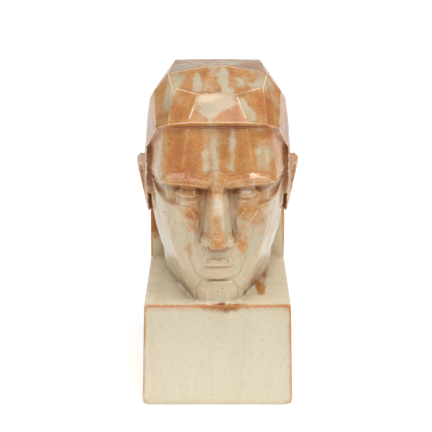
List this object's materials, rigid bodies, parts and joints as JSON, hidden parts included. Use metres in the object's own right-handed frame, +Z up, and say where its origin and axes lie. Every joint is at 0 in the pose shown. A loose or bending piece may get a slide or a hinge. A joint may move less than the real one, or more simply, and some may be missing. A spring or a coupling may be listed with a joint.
{
  "type": "glazed ceramic head bookend",
  "caption": "Faceted man's head resting its chin on a block, with a flat upright back plate, cast as one bookend that stands on its flat underside.",
  "frame": {"origin": "middle of the flat underside of the block", "axes": "+Z up, the face looks along -Y, +X towards the viewer's right, and the flat back faces +Y"},
  "size_m": [0.1108, 0.1143, 0.2205],
  "materials": {
    "glaze": "glossy mottled glaze, orange-brown over the head and running into cream on the face and the block"
  },
  "bodies": {
    "root": {"ceramic_bust": "glaze"}
  },
  "joints": []
}
